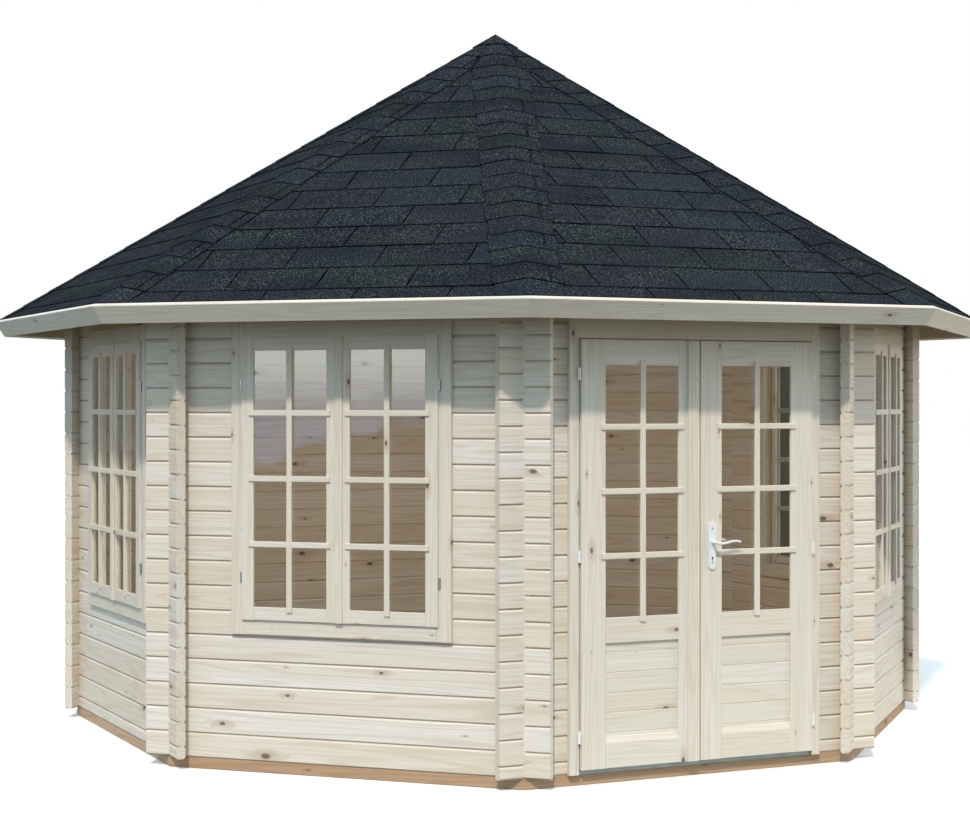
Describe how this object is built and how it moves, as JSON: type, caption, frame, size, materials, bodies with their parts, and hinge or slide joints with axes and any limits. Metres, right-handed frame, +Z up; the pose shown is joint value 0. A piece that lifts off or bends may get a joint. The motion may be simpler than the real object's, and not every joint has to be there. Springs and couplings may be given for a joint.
{
  "type": "octagonal log gazebo",
  "caption": "Octagonal garden gazebo of interlocking logs with a pair of half-glazed swing doors, casement windows, a board floor and a pyramid roof of bitumen shingles.",
  "frame": {"origin": "centre of the octagon on the ground, under the foundation beams", "axes": "+Z up, the door wall faces -Y, +X to the right seen from in front of the doors"},
  "size_m": [5.0256, 5.0256, 3.7172],
  "materials": {
    "log_pine": "planed, untreated",
    "joinery_pine": "planed, untreated",
    "floor_pine": "planed",
    "roof_pine": "planed",
    "treated_pine": "brown impregnated",
    "window_glass": "clear",
    "hinge_steel": "zinc plated",
    "white_metal": "white enamel",
    "threshold_aluminium": "mill finish",
    "bitumen_shingle": "mineral granules"
  },
  "bodies": {
    "root": {"foundation_beams": "treated_pine", "floor_joists": "treated_pine", "floor_deck": "floor_pine", "door_wall_logs": "log_pine", "front_right_wall_logs": "log_pine", "right_wall_logs": "log_pine", "back_right_wall_logs": "log_pine", "back_wall_logs": "log_pine", "back_left_wall_logs": "log_pine", "left_wall_logs": "log_pine", "front_left_wall_logs": "log_pine", "wall_plates": "log_pine", "front_right_window_frame": "joinery_pine", "right_window_frame": "joinery_pine", "left_window_frame": "joinery_pine", "front_left_window_frame": "joinery_pine", "front_right_casements": "joinery_pine", "right_casements": "joinery_pine", "left_casements": "joinery_pine", "front_left_casements": "joinery_pine", "front_right_window_glass": "window_glass", "right_window_glass": "window_glass", "left_window_glass": "window_glass", "front_left_window_glass": "window_glass", "window_hinges": "hinge_steel", "door_frame": "joinery_pine", "door_threshold": "threshold_aluminium", "door_frame_hinges": "white_metal", "hip_rafters": "roof_pine", "king_block": "roof_pine", "roof_boards": "roof_pine", "shingle_layer": "bitumen_shingle", "hip_caps": "bitumen_shingle", "fascia_boards": "joinery_pine"},
    "left_leaf": {"left_door_leaf": "joinery_pine", "left_door_panel": "joinery_pine", "left_door_glass": "window_glass", "door_cover_strip": "joinery_pine", "left_leaf_hinges": "white_metal"},
    "right_leaf": {"right_door_leaf": "joinery_pine", "right_door_panel": "joinery_pine", "right_door_glass": "window_glass", "handle_plates": "white_metal", "right_leaf_hinges": "white_metal"},
    "lever": {"lever_handles": "white_metal"}
  },
  "joints": [
    {"name": "left_door_swing", "type": "hinge", "parent": "root", "child": "left_leaf", "pos_m": [-0.6175, -2.14, 1], "axis": [0, 0, -1], "range_deg": [0, 150]},
    {"name": "right_door_swing", "type": "hinge", "parent": "root", "child": "right_leaf", "pos_m": [0.6175, -2.14, 1], "axis": [0, 0, 1], "range_deg": [0, 150]},
    {"name": "lever_turn", "type": "hinge", "parent": "right_leaf", "child": "lever", "pos_m": [0.05875, -2.15, 1.061], "axis": [0, 1, 0], "range_deg": [0, 45], "stiffness_Nm_per_rad": 1}
  ]
}
